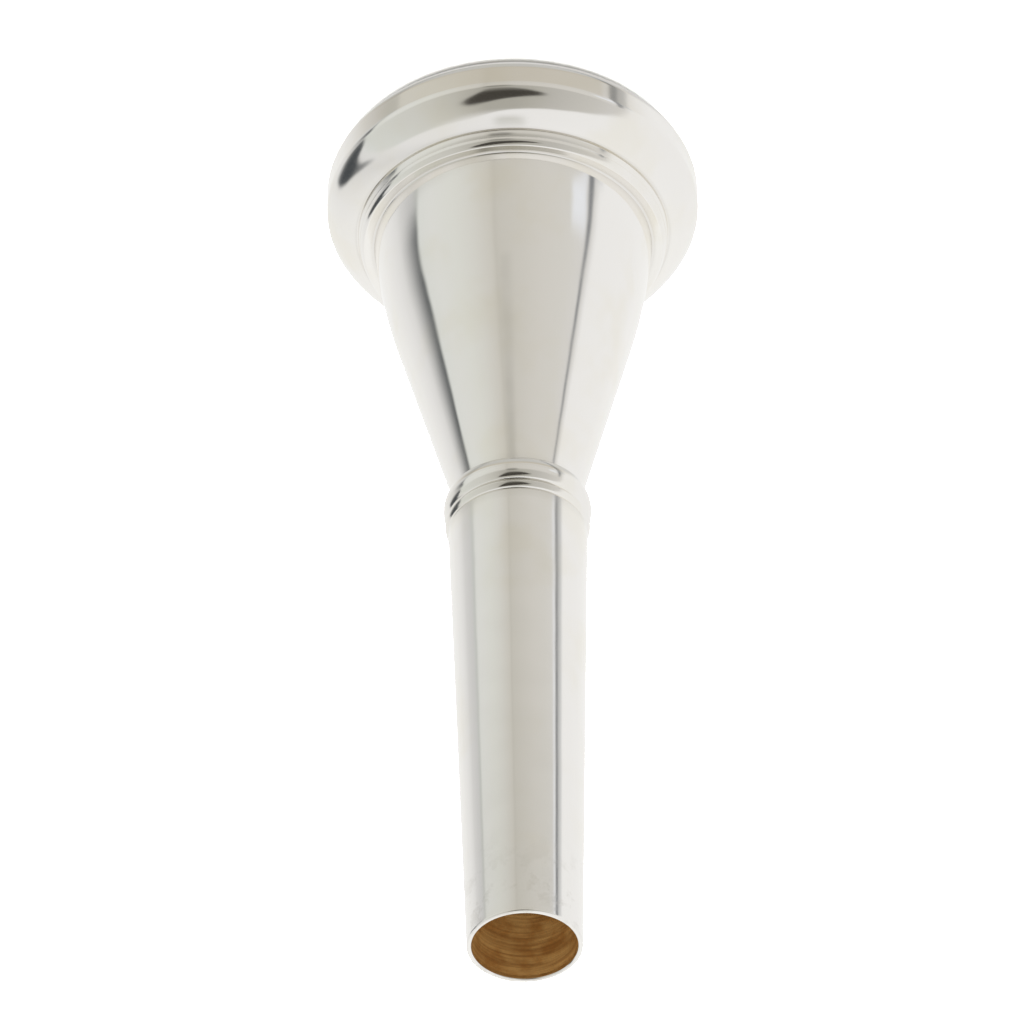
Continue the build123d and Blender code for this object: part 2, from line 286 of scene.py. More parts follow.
def thread_cutter():
    tree = bpy.data.node_groups.new("thread_cutter", "GeometryNodeTree")
    tree.interface.new_socket(name="Wall", in_out="INPUT", socket_type="NodeSocketGeometry")
    tree.interface.new_socket(name="Thread number", in_out="INPUT", socket_type="NodeSocketInt")
    for name in ("Pitch", "Base radius", "Depth", "Half width at base", "First height", "Last height"):
        tree.interface.new_socket(name=name, in_out="INPUT", socket_type="NodeSocketFloat")
    tree.interface.new_socket(name="Threaded", in_out="OUTPUT", socket_type="NodeSocketGeometry")
    given = node(tree, "NodeGroupInput").outputs
    at = node(tree, "ShaderNodeSeparateXYZ", {0: node(tree, "GeometryNodeInputPosition")}).outputs
    flat = node(tree, "ShaderNodeCombineXYZ", {"X": at["X"], "Y": at["Y"]})
    radius = node(tree, "ShaderNodeVectorMath", {0: flat}, operation="LENGTH").outputs["Value"]
    angle = node(tree, "ShaderNodeMath", {0: at["Y"], 1: at["X"]}, operation="ARCTAN2")
    turns = node(tree, "ShaderNodeMath", {0: angle, 1: 2 * math.pi}, operation="DIVIDE")
    pitches = node(tree, "ShaderNodeMath", {0: at["Z"], 1: given["Pitch"]}, operation="DIVIDE")
    climb = node(tree, "ShaderNodeMath", {0: pitches, 1: turns}, operation="SUBTRACT")
    nearest = node(tree, "ShaderNodeMath", {0: climb}, operation="ROUND")
    short = node(tree, "ShaderNodeMath", {0: climb, 1: nearest}, operation="SUBTRACT")
    off = node(tree, "ShaderNodeMath", {0: short, 1: given["Pitch"]}, operation="MULTIPLY")
    middle = node(tree, "ShaderNodeMath", {0: at["Z"], 1: off}, operation="SUBTRACT")
    away = node(tree, "ShaderNodeMath", {0: off}, operation="ABSOLUTE")
    inside = node(tree, "ShaderNodeMath", {0: given["Half width at base"], 1: away}, operation="SUBTRACT")
    steep = node(tree, "ShaderNodeMath", {0: inside, 1: FLANK_TANGENT}, operation="DIVIDE")
    capped = node(tree, "ShaderNodeMath", {0: steep, 1: given["Depth"]}, operation="MINIMUM")
    # the ridge rises over a sixth of a turn at its start and sinks again at its end
    run = node(tree, "ShaderNodeMath", {0: given["Pitch"], 1: 6.0}, operation="DIVIDE")
    after_first = node(tree, "ShaderNodeMath", {0: given["First height"], 1: run}, operation="ADD")
    before_last = node(tree, "ShaderNodeMath", {0: given["Last height"], 1: run}, operation="SUBTRACT")
    start = node(tree, "ShaderNodeMapRange", {0: middle, 1: given["First height"], 2: after_first,
                 3: 0.0, 4: 1.0})
    end = node(tree, "ShaderNodeMapRange", {0: middle, 1: before_last, 2: given["Last height"],
               3: 1.0, 4: 0.0})
    share = node(tree, "ShaderNodeMath", {0: start, 1: end}, operation="MULTIPLY")
    rise = node(tree, "ShaderNodeMath", {0: capped, 1: share}, operation="MULTIPLY")
    reached = node(tree, "ShaderNodeMath", {0: given["Base radius"], 1: rise}, operation="ADD")
    outer = node(tree, "ShaderNodeMath", {0: radius, 1: reached}, operation="MAXIMUM")
    grow = node(tree, "ShaderNodeMath", {0: outer, 1: radius}, operation="DIVIDE")
    spread = node(tree, "ShaderNodeVectorMath", {0: flat, "Scale": grow}, operation="SCALE")
    spread = node(tree, "ShaderNodeSeparateXYZ", {0: spread}).outputs
    moved = node(tree, "ShaderNodeCombineXYZ", {"X": spread["X"], "Y": spread["Y"], "Z": at["Z"]})
    number = node(tree, "GeometryNodeInputNamedAttribute", {"Name": "thread"}, data_type="INT")
    mine = node(tree, "FunctionNodeCompare", {2: number, 3: given["Thread number"]}, data_type="INT",
                operation="EQUAL")
    cut = node(tree, "GeometryNodeSetPosition", {"Geometry": given["Wall"], "Selection": mine,
               "Position": moved})
    node(tree, "NodeGroupOutput", {"Threaded": cut})
    return tree


CUTTER = thread_cutter()
print("thread cutter inputs:", [s.name for s in CUTTER.interface.items_tree if s.in_out == "INPUT"])

# %% [markdown]
# ## Drawing a half-section
#
# A turner's drawing is a list of runs: straight, bulged like a bead, or a quarter ellipse like the crown
# of the rim. Real edges are never perfectly sharp after buffing, and the tiny round on them is what
# catches a line of light. So where two runs meet, both are cut back by a few hundredths of a millimetre
# and a small curve is put between them. Straight runs get a row close to each end, which keeps the
# shading of the long flat part from bending into the corner.


# %% Runs of a half-section, in millimetres
def line(a, b, rows=1, **marks):
    share = np.linspace(0, 1, 400)[:, None]
    return dict(path=np.array(a) * (1 - share) + np.array(b) * share, rows=rows, straight=True, **marks)


def bulged(a, b, bulge, rows=20, **marks):
    """An arc whose middle stands the given distance out to the right of the straight line from a to b."""
    a, b = np.array(a, float), np.array(b, float)
    chord = np.linalg.norm(b - a)
    right = np.array([(b - a)[1], -(b - a)[0]]) / chord
    radius = (chord**2 / 4 + bulge**2) / (2 * abs(bulge))
    centre = (a + b) / 2 + right * (bulge - math.copysign(radius, bulge))
    half = math.asin(min(1.0, chord / 2 / radius))
    side = right * math.copysign(1, bulge)
    forward = (b - a) / chord
    angles = np.linspace(-half, half, 400)[:, None]
    path = centre + radius * (side * np.cos(angles) + forward * np.sin(angles))
    return dict(path=path, rows=rows, straight=False, **marks)


def quarter(centre, across, up, first_degrees, rows=28, **marks):
    """A quarter of an ellipse, drawn anticlockwise from the given angle."""
    angles = np.radians(np.linspace(first_degrees, first_degrees + 90, 400))
    path = np.stack([centre[0] + across * np.cos(angles), centre[1] + up * np.sin(angles)], 1)
    return dict(path=path, rows=rows, straight=False, **marks)


def trimmed(path, start, end):
    """The path without its first and last few hundredths of a millimetre."""
    lengths = np.concatenate([[0], np.cumsum(np.linalg.norm(np.diff(path, axis=0), axis=1))])
    share = np.linspace(start, lengths[-1] - end, 400)
    return np.stack([np.interp(share, lengths, path[:, k]) for k in (0, 1)], 1)


def sampled(path, run):
    length = np.linalg.norm(np.diff(path, axis=0), axis=1).sum()
    shares = np.linspace(0, 1, run["rows"] + 1)
    if run["straight"]:
        near = min(0.04 / length, 0.25)
        shares = np.unique(np.concatenate([shares, [near, 1 - near]]).round(9))
    at = np.linspace(0, 1, len(path))
    return np.stack([np.interp(shares, at, path[:, k]) for k in (0, 1)], 1)


def half_section(runs, eases, crevices=()):
    """Joins the runs of a closed outline. eases[i] is how far run i and the next are cut back, in mm."""
    points, threads, bares = [], [], []
    for i, run in enumerate(runs):
        before, after = eases[i - 1], eases[i]
        body = sampled(trimmed(run["path"], before, after), run)
        following = trimmed(runs[(i + 1) % len(runs)]["path"], after, 0)
        if after:
            corner, share = run["path"][-1], np.linspace(0, 1, 6)[1:-1, None]
            ease = body[-1] * (1 - share) ** 2 + 2 * corner * share * (1 - share) + following[0] * share**2
            body = np.concatenate([body, ease])
        else:
            body = body[:-1]
        points.append(body)
        threads += [run.get("thread", 0)] * len(body)
        bares += [run.get("bare", 0.0)] * len(body)
    points = np.concatenate(points)
    # crevice: how close a point is to a corner of the mouldings, which the plate greys as polish residue and
    # painted shade
    depth = np.zeros(len(points))
    for where, reach in crevices:
        depth = np.maximum(depth, np.exp(-((np.linalg.norm(points - np.array(where), axis=1) / reach) ** 2)))
    return dict(points=points, thread=threads, bare=bares, crevice=depth)


print("a helper run:", len(sampled(line((0, 0), (1, 0), 4)["path"], line((0, 0), (1, 0), 4))), "points")

# %% [markdown]
# ## Turning a piece
#
# The half-section becomes a loop of edges, the lathe and the thread cutter run on it as modifiers, and
# the result is kept as a plain mesh. The numbers printed are a turner's check: the piece must be closed,
# its volume must be positive, which means that its faces look outwards, and close to the CAD piece's.


# %% Turning
SHARP_ANGLE = math.radians(38)


def volume_and_gaps(mesh):
    work = bmesh.new()
    work.from_mesh(mesh)
    bmesh.ops.remove_doubles(work, verts=work.verts, dist=1e-7)
    volume = work.calc_volume(signed=True)
    gaps = sum(not edge.is_manifold for edge in work.edges)
    work.free()
    return volume / MM**3, gaps


def with_inputs(obj, tree, values):
    modifier = obj.modifiers.new(tree.name, "NODES")
    modifier.node_group = tree
    for socket in tree.interface.items_tree:
        if socket.in_out == "INPUT" and socket.name in values:
            modifier[socket.identifier] = values[socket.name]


def turn(name, section, threads=()):
    """Makes the piece that stands for CAD node `name`, and rides it on the body of the same name."""
    mesh = bpy.data.meshes.new(name + "_section")
    points = section["points"] * MM
    count = len(points)
    mesh.from_pydata([(r, 0, z) for r, z in points], [(i, (i + 1) % count) for i in range(count)], [])
    for label, kind in (("thread", "INT"), ("bare", "FLOAT"), ("crevice", "FLOAT")):
        mesh.attributes.new(label, kind, "POINT").data.foreach_set("value", section[label])
    blank = bpy.data.objects.new(name + "_section", mesh)
    scene.collection.objects.link(blank)
    with_inputs(blank, LATHE, {"Facets": FACETS, "Path radius": PATH_RADIUS, "Plate": PLATE,
                "Bare metal": BRASS})
    for values in threads:
        with_inputs(blank, CUTTER, values)
    graph = bpy.context.evaluated_depsgraph_get()
    made = bpy.data.meshes.new_from_object(
        blank.evaluated_get(graph), preserve_all_data_layers=True, depsgraph=graph)
    bpy.data.objects.remove(blank)
    made.name = name + "_turned"
    if not any(section["bare"]):
        made.materials.pop(index=1)
    made.set_sharp_from_angle(angle=SHARP_ANGLE)
    piece = bpy.data.objects.new(name + "_turned", made)
    scene.collection.objects.link(piece)
    volume, gaps = volume_and_gaps(made)
    cad_volume, _ = volume_and_gaps(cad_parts[name].data)
    triangles = sum(len(p.vertices) - 2 for p in made.polygons)
    print(f"{name}: {triangles} triangles, {gaps} open edges, {volume:.1f} mm3, CAD {cad_volume:.1f} mm3")
    print("   materials:", [m.name for m in made.materials])
    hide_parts(name)
    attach(piece, name)
    return piece


# %% [markdown]
# ## The sizes
#
# Heights are measured up from the plane that the rim stands on, radii out from the axis, all in
# millimetres. The threads have a 0.75 mm pitch. A socket's thread is the same ridge turned inside out,
# with 0.06 mm of play on each flank and 0.08 mm at the crest.

# %% Sizes
TOP = 65.1  # the open end of the shank
SHOULDER = 5.60  # the cup's shoulder, where the rim's ring ends
RIM_BACK = 5.03  # the rim's back, where its ring starts
NECK_START, NECK_END = 28.82, 31.35  # the ring at the neck
SPIGOT_IN_RIM, SPIGOT_IN_SHANK = 2.15, 36.2  # the cup's spigots end here
SEAT_GAP = 0.12
PITCH = 0.75
RIM_ROOT, SHANK_ROOT = 9.04, 3.04  # root radii of the cup's two threads
DEPTH, PLAY = 0.41, 0.08
HALF_WIDTH, FLANK_PLAY = 0.30, 0.06  # of a ridge at its root, and the play on each flank
RIM_THREAD_START, SHANK_THREAD_START = 2.6, 31.75  # where the spigots' ridges begin
THREAD_ROWS = 12  # rows of points in each pitch of a thread
EDGE = 0.05  # how far a buffed edge is rounded
THROAT, THROAT_START, THROAT_END = 2.25, 30.6, 33.1
TIP_BORE = 3.28
SHANK_TOP, SHANK_TIP = 4.5, 3.62  # the shank's outer radius at each end
LIP_ROUND = 0.12  # how high the rounded open end stands over the straight wall


def bore(height):
    return THROAT + (TIP_BORE - THROAT) * (height - THROAT_END) / (TOP - THROAT_END)


def thread(number, root, first, last, socket=False):
    """The thread cutter's named inputs for one thread, in metres."""
    half = HALF_WIDTH + (FLANK_PLAY - PLAY * FLANK_TANGENT if socket else 0.0)
    base = root + (PLAY if socket else 0.0)
    return {"Thread number": number, "Pitch": PITCH * MM, "Base radius": base * MM, "Depth": DEPTH * MM,
            "Half width at base": half * MM, "First height": first * MM, "Last height": last * MM}


def rows(a, b):
    return max(2, round(abs(b - a) / PITCH * THREAD_ROWS))


TAPER = (TOP - LIP_ROUND - NECK_END) / (2 * (SHANK_TOP - SHANK_TIP))
print("the shank tapers 1 in", round(TAPER, 1), "on diameter")

# %% [markdown]
# ## The rim
#
# The player's lips rest on the crown, a quarter ellipse on each side of the highest circle, so it has no
# flat. The outside then drops straight, and the back is a low crowned slope down to the ring. Inside it
# is the threaded socket that the cup screws into.

# %% Rim
RIM_SOCKET = RIM_ROOT + PLAY
RIM_FLOOR = SPIGOT_IN_RIM - SEAT_GAP
LEAD_IN = 0.25
FUNNEL_MOUTH = 8.56
CROWN, RIM_RADIUS, BITE = 10.4, 12.4, 8.9  # radii of the crown's circle, the side and the bite
BACK_EDGE = (10.42, RIM_BACK)
rim_section = half_section(
    [
        quarter((CROWN, 1.4), RIM_RADIUS - CROWN, 1.4, 270),
        line((RIM_RADIUS, 1.4), (RIM_RADIUS, 2.9), 4),
        bulged((RIM_RADIUS, 2.9), BACK_EDGE, 0.27, 32),
        line(BACK_EDGE, (RIM_SOCKET + LEAD_IN, RIM_BACK), 3),
        line((RIM_SOCKET + LEAD_IN, RIM_BACK), (RIM_SOCKET, RIM_BACK - LEAD_IN), 5, thread=1),
        line((RIM_SOCKET, RIM_BACK - LEAD_IN), (RIM_SOCKET, RIM_FLOOR),
             rows(RIM_BACK - LEAD_IN, RIM_FLOOR), thread=1),
        line((RIM_SOCKET, RIM_FLOOR), (FUNNEL_MOUTH, RIM_FLOOR), 2),
        line((FUNNEL_MOUTH, RIM_FLOOR), (BITE, 1.3), 4),
        quarter((CROWN, 1.3), CROWN - BITE, 1.3, 180),
    ],
    eases=[0, 0.2, 0.04, 0, 0, 0, EDGE, 0.1, 0],
    crevices=[(BACK_EDGE, 0.1)],
)
RIM_FIRST = RIM_THREAD_START - 0.1 * PITCH
rim = turn("rim", rim_section, [thread(1, RIM_ROOT, RIM_FIRST, RIM_FIRST + 5 * PITCH, socket=True)])

# %% [markdown]
# ## The ring under the rim
#
# A low moulded band hides the joint between the rim and the cup. The rim screws down on this ring, and
# the ring sits on the cup's shoulder.

# %% Rim ring
RING_INSIDE, RING_OUTSIDE = 9.53, 10.2
RING_CREST = (10.33, 5.22)
rim_ring_section = half_section(
    [
        bulged((RING_OUTSIDE, RIM_BACK), RING_CREST, 0.04, 12),
        bulged(RING_CREST, (RING_OUTSIDE, SHOULDER), 0.008, 12),
        line((RING_OUTSIDE, SHOULDER), (RING_INSIDE, SHOULDER), 2),
        line((RING_INSIDE, SHOULDER), (RING_INSIDE, RIM_BACK), 3),
        line((RING_INSIDE, RIM_BACK), (RING_OUTSIDE, RIM_BACK), 2),
    ],
    eases=[0.05, 0.015, 0.02, 0.02, 0.02],
    crevices=[((RING_OUTSIDE, RIM_BACK), 0.1)],
)
rim_ring = turn("rim_ring", rim_ring_section)

# %% [markdown]
# ## The cup
#
# Outside, a shoulder stands out under the ring. The wall starts almost upright and curves into a plain
# cone. Inside is a deep funnel, slightly bowl shaped, down to the throat, which gives the horn its dark
# sound. A threaded spigot stands out at each end. The plating follows the funnel down, and gives out in
# the throat.

# %% Cup
PILOT_RIM, PILOT_NECK = RIM_BACK + 0.1, NECK_END - 0.1
RIM_CREST, SHANK_CREST = RIM_ROOT + DEPTH, SHANK_ROOT + DEPTH
CHAMFER = 0.15
SHOULDER_EDGE, SHOULDER_TOP = (9.96, 6.12), (9.87, 6.15)
SHOULDER_FOOT, WALL_START = (9.33, 6.055), (9.2, 6.2)
CONE_START, CONE_END = (7.86, 14.0), (3.95, NECK_START)
cup_section = half_section(
    [
        bulged((RING_OUTSIDE, SHOULDER), SHOULDER_EDGE, 0.043, 20),
        bulged(SHOULDER_EDGE, SHOULDER_TOP, 0.012, 6),
        line(SHOULDER_TOP, SHOULDER_FOOT, 4),
        bulged(SHOULDER_FOOT, WALL_START, -0.035, 8),
        bulged(WALL_START, CONE_START, 0.172, 32),
        line(CONE_START, CONE_END, 16),
        line(CONE_END, (SHANK_CREST, NECK_START), 2),
        line((SHANK_CREST, NECK_START), (SHANK_CREST, PILOT_NECK), 4),
        line((SHANK_CREST, PILOT_NECK), (SHANK_ROOT, PILOT_NECK + DEPTH / 2), 4, thread=2),
        line((SHANK_ROOT, PILOT_NECK + DEPTH / 2), (SHANK_ROOT, SPIGOT_IN_SHANK - CHAMFER),
             rows(PILOT_NECK + DEPTH / 2, SPIGOT_IN_SHANK - CHAMFER), thread=2),
        line((SHANK_ROOT, SPIGOT_IN_SHANK - CHAMFER), (SHANK_ROOT - CHAMFER, SPIGOT_IN_SHANK), 2),
        line((SHANK_ROOT - CHAMFER, SPIGOT_IN_SHANK), (bore(SPIGOT_IN_SHANK), SPIGOT_IN_SHANK), 2, bare=1.0),
        line((bore(SPIGOT_IN_SHANK), SPIGOT_IN_SHANK), (THROAT, THROAT_END), 6, bare=1.0),
        line((THROAT, THROAT_END), (THROAT, THROAT_START), 6, bare=1.0),
        bulged((THROAT, THROAT_START), (FUNNEL_MOUTH, SPIGOT_IN_RIM), -0.45, 44),
        line((FUNNEL_MOUTH, SPIGOT_IN_RIM), (RIM_ROOT - CHAMFER, SPIGOT_IN_RIM), 2),
        line((RIM_ROOT - CHAMFER, SPIGOT_IN_RIM), (RIM_ROOT, SPIGOT_IN_RIM + CHAMFER), 2),
        line((RIM_ROOT, SPIGOT_IN_RIM + CHAMFER), (RIM_ROOT, PILOT_RIM - DEPTH / 2),
             rows(SPIGOT_IN_RIM + CHAMFER, PILOT_RIM - DEPTH / 2), thread=1),
        line((RIM_ROOT, PILOT_RIM - DEPTH / 2), (RIM_CREST, PILOT_RIM), 4, thread=1),
        line((RIM_CREST, PILOT_RIM), (RIM_CREST, SHOULDER), 3),
        line((RIM_CREST, SHOULDER), (RING_OUTSIDE, SHOULDER), 2),
    ],
    eases=[0.02, 0.01, 0.04, 0.03, 0, 0.03, 0, 0, 0, 0, 0.03, 0.03, 0.1, 0.1, 0.03, 0.03, 0, 0, 0, 0, 0.03],
    crevices=[(SHOULDER_FOOT, 0.15), (CONE_END, 0.14)],
)
cup = turn("cup", cup_section, [
    thread(1, RIM_ROOT, RIM_THREAD_START, RIM_THREAD_START + 2.8 * PITCH),
    thread(2, SHANK_ROOT, SHANK_THREAD_START, SHANK_THREAD_START + 5.2 * PITCH),
])

# %% [markdown]
# ## The ring at the neck
#
# A round bead, a groove, and a low lip beside the shank. It is one ring, trapped between the cup and the
# shank.

# % Neck ring
BEAD_END, GROOVE = (4.53, 30.26), (4.31, 30.43)
LIP, LIP_TURN, LIP_END = (4.69, 30.79), (4.53, 31.1), (4.43, 31.18)
BEAD_START, NECK_RING_INSIDE = 4.66, 3.53
neck_ring_section = half_section(
    [
        bulged((BEAD_START, NECK_START), BEAD_END, 0.1905, 36),
        bulged(BEAD_END, GROOVE, 0.017, 14),
        line(GROOVE, LIP, 4),
        bulged(LIP, LIP_TURN, 0.011, 12),
        bulged(LIP_TURN, LIP_END, 0.008, 8),
        line(LIP_END, (SHANK_TOP, NECK_END), 3),
        line((SHANK_TOP, NECK_END), (NECK_RING_INSIDE, NECK_END), 2),
        line((NECK_RING_INSIDE, NECK_END), (NECK_RING_INSIDE, NECK_START), 4),
        line((NECK_RING_INSIDE, NECK_START), (BEAD_START, NECK_START), 2),
    ],
    eases=[0.02, 0.02, 0.03, 0.01, 0.02, 0.01, 0.02, 0.02, 0.03],
    crevices=[((BEAD_START, NECK_START), 0.12), (GROOVE, 0.1)],
)
neck_ring = turn("neck_ring", neck_ring_section)

# %% [markdown]
# ## The shank
#
# The outside is a Morse taper, 1 in 19.2, that wedges into the horn's leadpipe. The open end has a thin
# lip, rounded by the buff and still silver. Just inside the lip the plating stops and the reamed brass of
# the backbore begins.

# %% Shank
SHANK_SOCKET = SHANK_ROOT + PLAY
SHANK_LEAD_IN = 0.35
SHANK_FLOOR = SPIGOT_IN_SHANK + SEAT_GAP
TIP = TOP - LIP_ROUND
PLATED_TO = TIP - 0.22  # the plating stops this far down in the open end
shank_section = half_section(
    [
        line((SHANK_TOP, NECK_END), (SHANK_TIP, TIP), 48),
        bulged((SHANK_TIP, TIP), (TIP_BORE, TIP), LIP_ROUND, 16),
        line((TIP_BORE, TIP), (bore(PLATED_TO), PLATED_TO), 2),
        line((bore(PLATED_TO), PLATED_TO), (bore(SHANK_FLOOR), SHANK_FLOOR), 40, bare=1.0),
        line((bore(SHANK_FLOOR), SHANK_FLOOR), (SHANK_SOCKET, SHANK_FLOOR), 2, bare=1.0),
        line((SHANK_SOCKET, SHANK_FLOOR), (SHANK_SOCKET, NECK_END + SHANK_LEAD_IN),
             rows(SHANK_FLOOR, NECK_END + SHANK_LEAD_IN), thread=1, bare=1.0),
        line((SHANK_SOCKET, NECK_END + SHANK_LEAD_IN), (SHANK_SOCKET + SHANK_LEAD_IN, NECK_END), 5, thread=1),
        line((SHANK_SOCKET + SHANK_LEAD_IN, NECK_END), (SHANK_TOP, NECK_END), 3),
    ],
    eases=[0.03, 0, 0, 0.02, 0, 0, 0, 0.02],
    crevices=[((SHANK_TOP, NECK_END), 0.1)],
)
SHANK_FIRST = SHANK_THREAD_START - PITCH
shank = turn("shank", shank_section, [
    thread(1, SHANK_ROOT, SHANK_FIRST, SHANK_FIRST + 6.3 * PITCH, socket=True),
])

# %% [markdown]
# ## The floor
#
# A plain pale sweep of matt board. It is hidden from mirror-like rays, because a photographer lays small
# silverware on a sheet of light rather than let it reflect a table edge: the silver then sees only the
# light tent below.


# %% Floor
def matt_board():
    """White matt board: a soft, even, paper-like white."""
    material, tree = new_material("white_matt_board")
    place = node(tree, "ShaderNodeTexCoord")
    fibre = node(tree, "ShaderNodeTexNoise", {"Vector": place.outputs["Object"], "Scale": 900.0, "Detail": 2.0})
    tint = node(tree, "ShaderNodeMix", {0: fibre, 6: colour("F8F8F6"), 7: colour("FAFAF9")}, data_type="RGBA")
    shader = node(tree, "ShaderNodeBsdfPrincipled", {"Base Color": tint.outputs[2], "Roughness": 0.9,
                  "Specular IOR Level": 0.1})
    node(tree, "ShaderNodeOutputMaterial", {"Surface": shader})
    return material


FLOOR_RADIUS = 4.0  # metres
floor_mesh = bpy.data.meshes.new("floor")
floor_work = bmesh.new()
bmesh.ops.create_circle(floor_work, cap_ends=True, segments=96, radius=FLOOR_RADIUS)
floor_work.to_mesh(floor_mesh)
floor_work.free()
floor = bpy.data.objects.new("floor", floor_mesh)
floor.data.materials.append(matt_board())
scene.collection.objects.link(floor)
floor.visible_glossy = False
print("floor at height", floor.location.z, "m")

# %% [markdown]
# ## The light tent
#
# Polished silver has hardly any look of its own: it shows the room. So the lighting is the picture. A
# photographer of silverware puts it in a tent of white cloth, and then adds a few grey and black cards,
# because without something dark to reflect the shape would vanish.
#
# Lamps and cards could be placed as objects. A world shader is simpler here: it paints the tent by
# direction. Azimuth is measured clockwise from +Y, so 90 degrees is +X, and elevation up from the
# horizon. Each card is a patch with a near and a far edge at several elevations, given as short lists.

# %% The tent's helpers
world = bpy.data.worlds.new("light_tent")
scene.world = world
world.use_nodes = True
tent = world.node_tree
tent.nodes.clear()
looking = node(tent, "ShaderNodeTexCoord").outputs["Generated"]
part_of = node(tent, "ShaderNodeSeparateXYZ", {0: looking}).outputs
swing = node(tent, "ShaderNodeMath", {0: part_of["X"], 1: part_of["Y"]}, operation="ARCTAN2")
swing = node(tent, "ShaderNodeMath", {0: swing, 1: 2 * math.pi}, operation="DIVIDE")
azimuth = node(tent, "ShaderNodeMath", {0: swing, 1: 1.0}, operation="WRAP")
azimuth.inputs[2].default_value = 0.0
rise = node(tent, "ShaderNodeMath", {0: part_of["Z"]}, operation="ARCSINE")
elevation = node(tent, "ShaderNodeMath", {0: rise, 1: 1 / math.pi, 2: 0.5}, operation="MULTIPLY_ADD")


def up(degrees):
    """An elevation as the share from straight down to straight up that the tree works with."""
    return (degrees + 90) / 180


def follow(position, pairs):
    """A curve through (position, value) pairs, both from 0 to 1, joined by straight lines."""
    curve = node(tent, "ShaderNodeFloatCurve", {"Value": position})
    points = curve.mapping.curves[0].points
    while len(points) < len(pairs):
        points.new(0.5, 0.5)
    for point, (x, y) in zip(points, sorted(pairs)):
        point.location = x, y
        point.handle_type = "VECTOR"
    curve.mapping.use_clip = False
    curve.mapping.extend = "HORIZONTAL"
    curve.mapping.update()
    return curve


def ramp(stops):
    """Tent colours by azimuth: (degrees, red, green, blue) in linear light, mixed evenly between."""
    made = node(tent, "ShaderNodeValToRGB", {0: azimuth})
    band = made.color_ramp
    band.interpolation = "LINEAR"
    while len(band.elements) < len(stops):
        band.elements.new(0.5)
    for element, stop in zip(band.elements, stops):
        element.position = stop[0] / 360
    for element, stop in zip(band.elements, stops):
        element.color = (*stop[1:], 1.0)
    return made.outputs[0]


def card(under, outline, near_soft, far_soft, tint, strength):
    """Lays a card over the tent, in degrees.

    outline: (elevation, near azimuth, far azimuth). strength: (elevation, share of the card that shows).
    near_soft and far_soft: how wide each edge is blurred.
    """
    near = follow(elevation, [(up(e), a / 360) for e, a, b in outline])
    far = follow(elevation, [(up(e), b / 360) for e, a, b in outline])
    much = follow(elevation, [(up(e), s) for e, s in strength])
    from_near = node(tent, "ShaderNodeMath", {0: azimuth, 1: near}, operation="SUBTRACT")
    to_far = node(tent, "ShaderNodeMath", {0: far, 1: azimuth}, operation="SUBTRACT")
    half_near, half_far = near_soft / 720, far_soft / 720
    inside_near = node(tent, "ShaderNodeMapRange", {0: from_near, 1: -half_near, 2: half_near, 3: 0.0, 4: 1.0},
                       interpolation_type="SMOOTHSTEP")
    inside_far = node(tent, "ShaderNodeMapRange", {0: to_far, 1: -half_far, 2: half_far, 3: 0.0, 4: 1.0},
                      interpolation_type="SMOOTHSTEP")
    inside = node(tent, "ShaderNodeMath", {0: inside_near, 1: inside_far}, operation="MULTIPLY")
    cover = node(tent, "ShaderNodeMath", {0: inside, 1: much}, operation="MULTIPLY")
    return node(tent, "ShaderNodeMix", {0: cover, 6: under, 7: tint}, data_type="RGBA").outputs[2]


print("tent helpers ready")

# %% [markdown]
# ## The cloth, the grey side and the cards
#
# The cloth is brightest behind the silver and a little dimmer towards each side. The side where the
# camera stands is a warm grey board, which is what gives the cone and the shank their darker middle.
# It has a seam, so its tone steps, and it is darker in a low band. A black flag stands on the left. On
# the right are a thin black edge and a strip of blue-white cloth beside it. The opening for the lens is
# the dark patch in the middle. Far below, where only the rim's crown looks, all of it is dim.

# %% The tent
cloth = ramp([(0, 0.965, 0.965, 0.955), (20, 0.925, 0.925, 0.915), (45, 0.88, 0.88, 0.87),
             (62, 0.82, 0.82, 0.82), (78, 0.72, 0.72, 0.72), (100, 0.80, 0.80, 0.80),
             (245, 0.88, 0.88, 0.88), (300, 0.90, 0.90, 0.90), (335, 0.935, 0.935, 0.925),
             (360, 0.965, 0.965, 0.955)])
grey_low = ramp([(60, 0.70, 0.72, 0.71), (95, 0.72, 0.74, 0.72), (112, 0.745, 0.755, 0.735),
                (132, 0.725, 0.735, 0.70), (146, 0.69, 0.69, 0.655), (156, 0.65, 0.64, 0.60),
                (163, 0.62, 0.605, 0.56), (165, 0.555, 0.54, 0.495), (168, 0.59, 0.575, 0.53),
                (186, 0.625, 0.61, 0.57), (205, 0.66, 0.645, 0.61), (228, 0.68, 0.67, 0.64),
                (243, 0.71, 0.70, 0.69), (262, 0.74, 0.74, 0.74)])
grey_high = ramp([(60, 0.70, 0.72, 0.71), (95, 0.69, 0.71, 0.69), (112, 0.65, 0.66, 0.63),
                 (130, 0.615, 0.615, 0.58), (144, 0.555, 0.55, 0.51), (154, 0.49, 0.48, 0.44),
                 (164, 0.42, 0.41, 0.37), (182, 0.42, 0.41, 0.37), (194, 0.46, 0.45, 0.41),
                 (206, 0.51, 0.50, 0.47), (226, 0.58, 0.57, 0.54), (243, 0.66, 0.65, 0.64)])
level = node(tent, "ShaderNodeMapRange", {0: elevation, 1: up(-12), 2: up(-1), 3: 0.0, 4: 1.0},
             interpolation_type="SMOOTHSTEP")
grey = node(tent, "ShaderNodeMix", {0: level, 6: grey_low, 7: grey_high}, data_type="RGBA").outputs[2]

